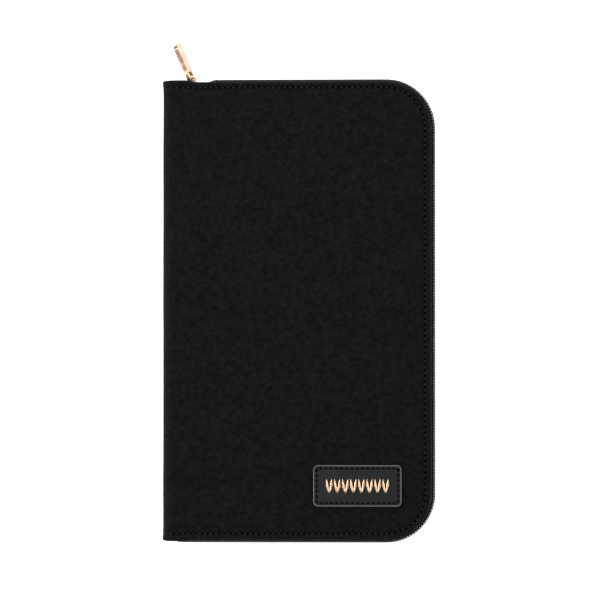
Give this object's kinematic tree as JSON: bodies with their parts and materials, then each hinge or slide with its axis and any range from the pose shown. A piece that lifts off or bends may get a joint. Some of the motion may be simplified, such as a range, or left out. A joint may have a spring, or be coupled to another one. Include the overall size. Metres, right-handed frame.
{
  "type": "interchangeable needle set",
  "caption": "Zip-round book case with a folding spine that holds pairs of knitting needle tips in sleeves, with a clear pocket and a pouch for their small parts.",
  "frame": {"origin": "centre of the back cover's flat outer face, on which the closed case rests", "axes": "+X from the spine to the free edge, +Y up the cover towards the parked slider's end, +Z from the back cover to the front cover"},
  "size_m": [0.1431, 0.2654, 0.0291],
  "materials": {
    "faux_suede": "matte",
    "cover_board": "matte",
    "lining_cloth": "matte",
    "zip_tape": "matte",
    "nylon_coil": "satin",
    "gold_zinc": "polished",
    "label_leather": "satin",
    "gold_foil": "satin",
    "elastic": "matte",
    "clear_vinyl": "gloss",
    "cap_plastic": "satin",
    "key_wire": "satin",
    "ferrule_brass": "polished",
    "laminated_birch": "satin"
  },
  "bodies": {
    "back": {"back_cover_skin": "faux_suede", "back_cover_board": "cover_board", "back_cover_lining": "lining_cloth", "back_zip_tape": "zip_tape", "back_zip_coil": "nylon_coil", "back_zip_stops": "gold_zinc", "back_zip_end_tabs": "zip_tape", "needle_panel": "lining_cloth", "needle_pocket": "lining_cloth", "needle_band": "elastic"},
    "spine": {"spine_skin": "faux_suede", "spine_board": "cover_board", "spine_lining": "lining_cloth", "back_fold_strip": "faux_suede", "front_fold_strip": "faux_suede"},
    "front": {"front_cover_skin": "faux_suede", "front_cover_board": "cover_board", "front_cover_lining": "lining_cloth", "front_zip_tape": "zip_tape", "front_zip_coil": "nylon_coil", "front_zip_stops": "gold_zinc", "front_zip_end_tabs": "zip_tape", "label_patch": "label_leather", "label_emblem": "gold_foil", "cable_pocket_window": "clear_vinyl", "cable_pocket_binding": "lining_cloth", "pocket_zip_tape": "zip_tape", "pocket_zip_coil": "nylon_coil", "pouch_window": "clear_vinyl", "pouch_binding": "lining_cloth", "end_caps": "cap_plastic", "cable_connectors": "ferrule_brass", "cable_keys": "key_wire"},
    "zip_slider": {"zip_slider_body": "gold_zinc", "zip_slider_crown": "gold_zinc"},
    "zip_puller": {"zip_puller": "gold_zinc"},
    "pocket_slider": {"pocket_zip_slider": "gold_zinc", "pocket_zip_puller": "gold_zinc"},
    "tips_35": {"tips_35_shafts": "laminated_birch", "tips_35_ferrules": "ferrule_brass"},
    "tips_40": {"tips_40_shafts": "laminated_birch", "tips_40_ferrules": "ferrule_brass"},
    "tips_45": {"tips_45_shafts": "laminated_birch", "tips_45_ferrules": "ferrule_brass"},
    "tips_50": {"tips_50_shafts": "laminated_birch", "tips_50_ferrules": "ferrule_brass"},
    "tips_55": {"tips_55_shafts": "laminated_birch", "tips_55_ferrules": "ferrule_brass"},
    "tips_60": {"tips_60_shafts": "laminated_birch", "tips_60_ferrules": "ferrule_brass"},
    "tips_70": {"tips_70_shafts": "laminated_birch", "tips_70_ferrules": "ferrule_brass"},
    "tips_80": {"tips_80_shafts": "laminated_birch", "tips_80_ferrules": "ferrule_brass"}
  },
  "joints": [
    {"name": "spine_fold", "type": "hinge", "parent": "back", "child": "spine", "pos_m": [-0.06905, 0, 0.0017], "axis": [0, -1, 0], "range_deg": [0, 90], "deforming": ["back_fold_strip"]},
    {"name": "cover_fold", "type": "hinge", "parent": "spine", "child": "front", "pos_m": [-0.06905, 0, 0.0263], "axis": [0, -1, 0], "range_deg": [0, 90], "deforming": ["front_fold_strip", "front_zip_end_tabs"]},
    {"name": "slider_run", "type": "slide", "parent": "back", "child": "zip_slider", "axis": [0.9996, 0.0275, 0], "range_m": [0, 0.09804], "deforming": ["back_zip_tape", "front_zip_tape", "back_zip_coil", "front_zip_coil"]},
    {"name": "puller_swing", "type": "hinge", "parent": "zip_slider", "child": "zip_puller", "pos_m": [-0.05705, 0.12285, 0.014], "axis": [-0.316, -0.1309, 0.9397], "range_deg": [-105, 65]},
    {"name": "tips_35_draw", "type": "slide", "parent": "back", "child": "tips_35", "axis": [0, 1, 0], "range_m": [0, 0.085]},
    {"name": "tips_40_draw", "type": "slide", "parent": "back", "child": "tips_40", "axis": [0, 1, 0], "range_m": [0, 0.085]},
    {"name": "tips_45_draw", "type": "slide", "parent": "back", "child": "tips_45", "axis": [0, 1, 0], "range_m": [0, 0.085]},
    {"name": "tips_50_draw", "type": "slide", "parent": "back", "child": "tips_50", "axis": [0, 1, 0], "range_m": [0, 0.085]},
    {"name": "tips_55_draw", "type": "slide", "parent": "back", "child": "tips_55", "axis": [0, 1, 0], "range_m": [0, 0.085]},
    {"name": "tips_60_draw", "type": "slide", "parent": "back", "child": "tips_60", "axis": [0, 1, 0], "range_m": [0, 0.085]},
    {"name": "tips_70_draw", "type": "slide", "parent": "back", "child": "tips_70", "axis": [0, 1, 0], "range_m": [0, 0.085]},
    {"name": "tips_80_draw", "type": "slide", "parent": "back", "child": "tips_80", "axis": [0, 1, 0], "range_m": [0, 0.085]},
    {"name": "pocket_slider_run", "type": "slide", "parent": "front", "child": "pocket_slider", "axis": [1, 0, 0], "range_m": [0, 0.086]}
  ]
}
